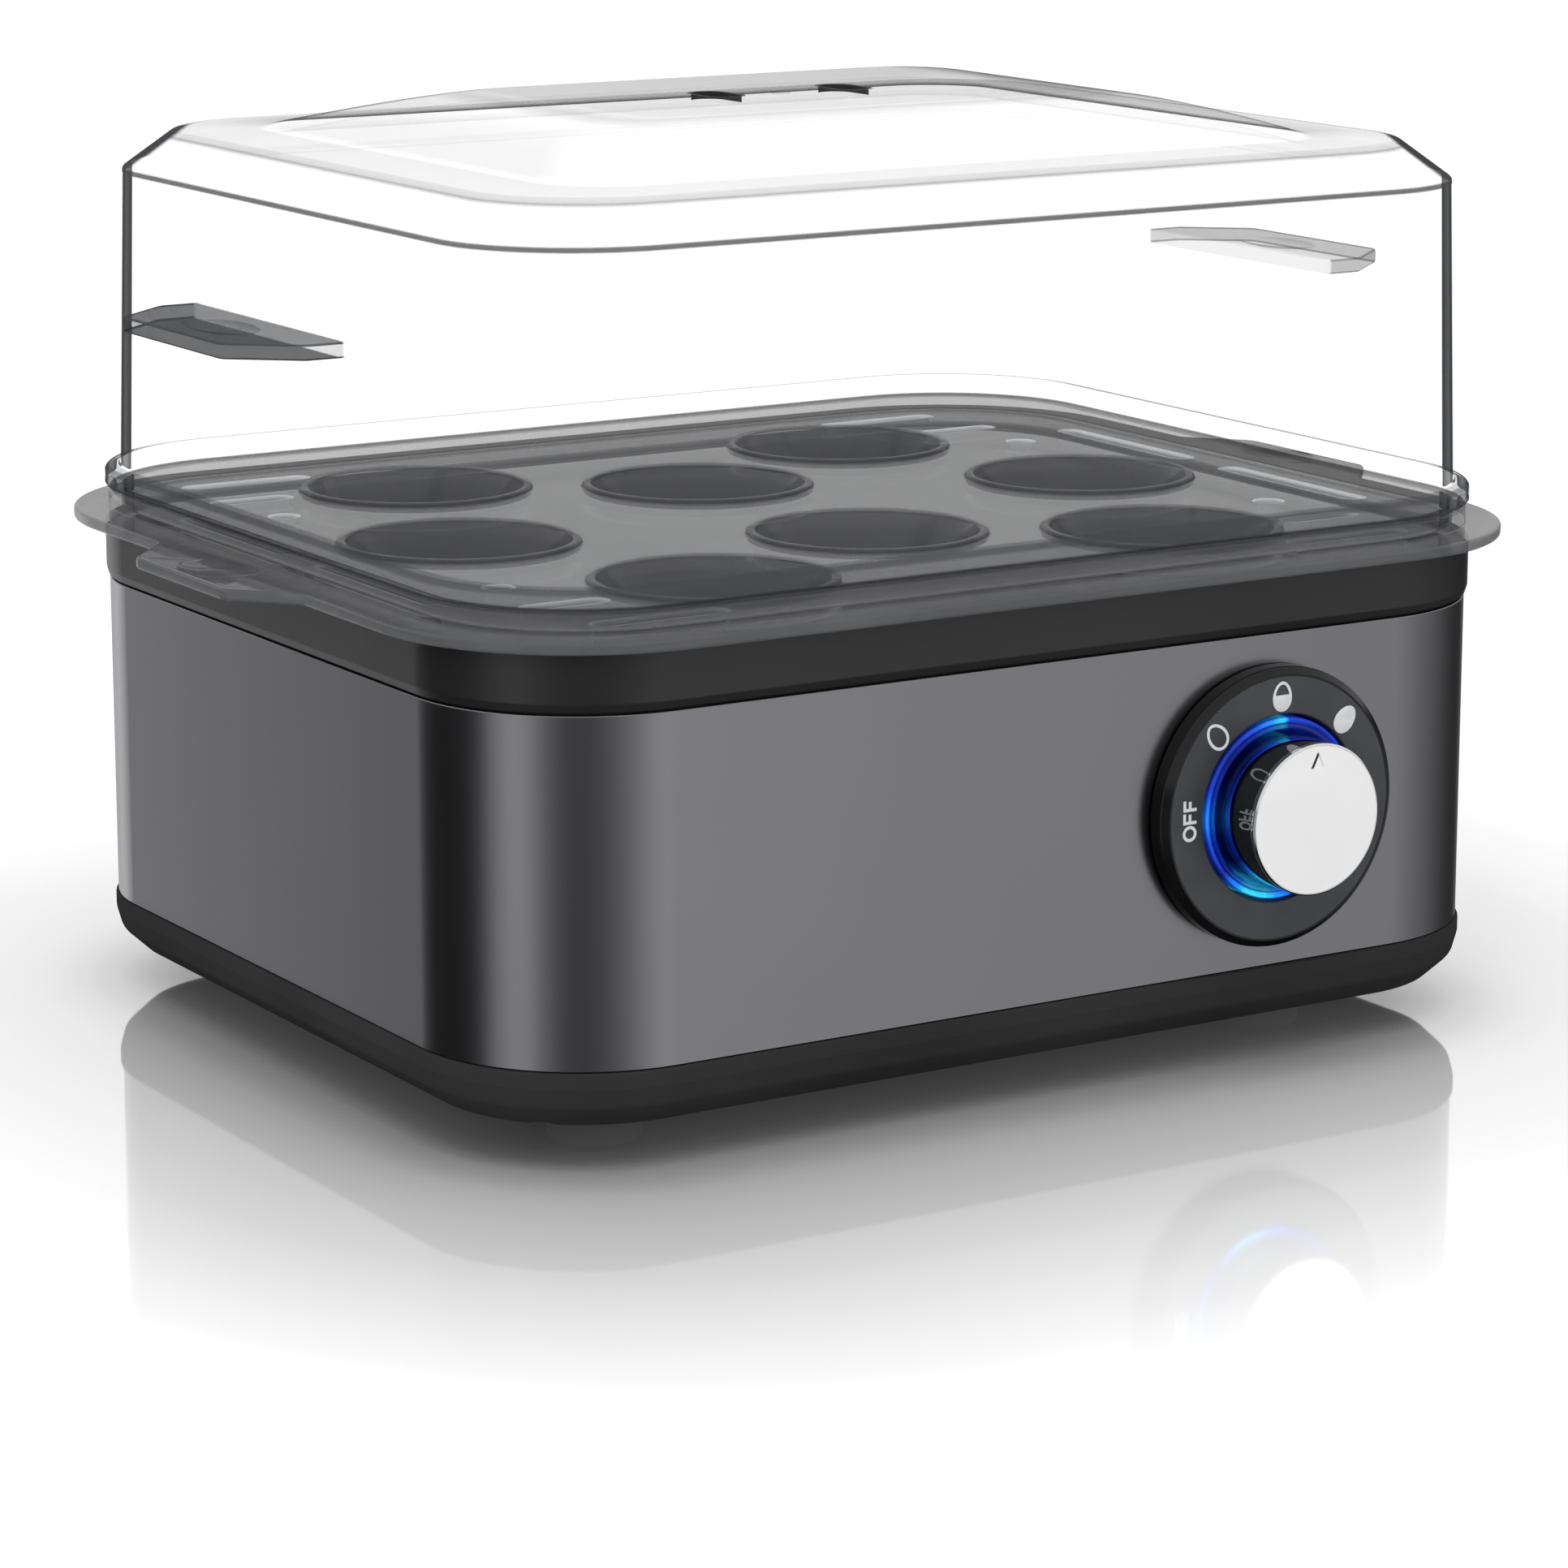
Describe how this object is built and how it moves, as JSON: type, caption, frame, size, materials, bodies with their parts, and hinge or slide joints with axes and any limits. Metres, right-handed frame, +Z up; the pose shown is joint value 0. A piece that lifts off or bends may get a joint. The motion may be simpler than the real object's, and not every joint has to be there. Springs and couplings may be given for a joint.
{
  "type": "egg boiler",
  "caption": "Rounded box-shaped egg boiler with a steel band, a front rotary control with a lit ring, a lift-out egg tray and a clear lid.",
  "frame": {"origin": "middle of the whole object's footprint, on the table", "axes": "+Z up, +X to the right of someone facing the control, -Y out of the front"},
  "size_m": [0.208, 0.1686, 0.1422],
  "materials": {
    "clear_plastic": "clear moulded plastic, polished",
    "smoky_plastic": "smoke-tinted clear plastic",
    "black_plastic": "fine satin moulded",
    "knob_black": "polished black",
    "band_steel": "finely brushed, lacquered",
    "cap_silver": "fine satin, silver",
    "dial_grey": "satin anthracite with printed marks",
    "blue_light": "translucent light guide, lit blue",
    "led_lens": "clear lens, lit light blue",
    "bowl_coating": "pressed aluminium with a dark grey non-stick coating",
    "foot_rubber": "moulded",
    "seal_silicone": "soft, matt",
    "zinc_steel": "zinc plated",
    "circuit_board": "lacquered board",
    "relay_blue": "moulded",
    "white_ceramic": "unglazed",
    "grey_plastic": "moulded",
    "wire_brown": "wire sleeve",
    "wire_blue": "wire sleeve",
    "wire_red": "wire sleeve"
  },
  "bodies": {
    "housing": {"collar_ring": "black_plastic", "steel_band": "band_steel", "base_cover": "black_plastic", "heating_bowl": "bowl_coating", "bowl_seal": "seal_silicone", "heating_element": "zinc_steel", "element_clamp_1": "zinc_steel", "element_clamp_2": "zinc_steel", "clamp_screw_1": "zinc_steel", "clamp_screw_2": "zinc_steel", "clamp_screw_3": "zinc_steel", "clamp_screw_4": "zinc_steel", "thermostat": "grey_plastic", "thermostat_strap": "zinc_steel", "strap_screw_1": "zinc_steel", "strap_screw_2": "zinc_steel", "thermal_fuse": "white_ceramic", "dial_plate": "dial_grey", "light_ring": "blue_light", "timer_body": "grey_plastic", "timer_nut": "zinc_steel", "led_board": "circuit_board", "indicator_led_1": "led_lens", "indicator_led_2": "led_lens", "indicator_led_3": "led_lens", "indicator_led_4": "led_lens", "control_bracket": "grey_plastic", "bracket_screw_1": "zinc_steel", "bracket_screw_2": "zinc_steel", "control_board": "circuit_board", "board_screw_1": "zinc_steel", "board_screw_2": "zinc_steel", "board_screw_3": "zinc_steel", "board_screw_4": "zinc_steel", "relay": "relay_blue", "capacitor": "zinc_steel", "buzzer": "knob_black", "board_connector": "white_ceramic", "terminal_block": "white_ceramic", "cord_gland": "black_plastic", "gland_nut": "black_plastic", "live_lead": "wire_brown", "neutral_lead": "wire_blue", "heater_lead": "wire_red", "link_lead": "wire_red", "base_screw_1": "zinc_steel", "base_screw_2": "zinc_steel", "base_screw_3": "zinc_steel", "base_screw_4": "zinc_steel", "rubber_foot_1": "foot_rubber", "rubber_foot_2": "foot_rubber", "rubber_foot_3": "foot_rubber", "rubber_foot_4": "foot_rubber"},
    "knob": {"knob_body": "knob_black", "knob_cap": "cap_silver", "timer_shaft": "zinc_steel"},
    "tray": {"egg_tray": "smoky_plastic"},
    "lid": {"lid": "clear_plastic"}
  },
  "joints": [
    {"name": "knob_turn", "type": "hinge", "parent": "housing", "child": "knob", "pos_m": [0.0389, -0.07163, 0.0397], "axis": [0, -1, 0], "range_deg": [-45, 90]},
    {"name": "tray_lift", "type": "slide", "parent": "housing", "child": "tray", "axis": [0, 0, 1], "range_m": [0, 0.06]},
    {"name": "lid_lift", "type": "slide", "parent": "tray", "child": "lid", "axis": [0, 0, 1], "range_m": [0, 0.1]}
  ]
}
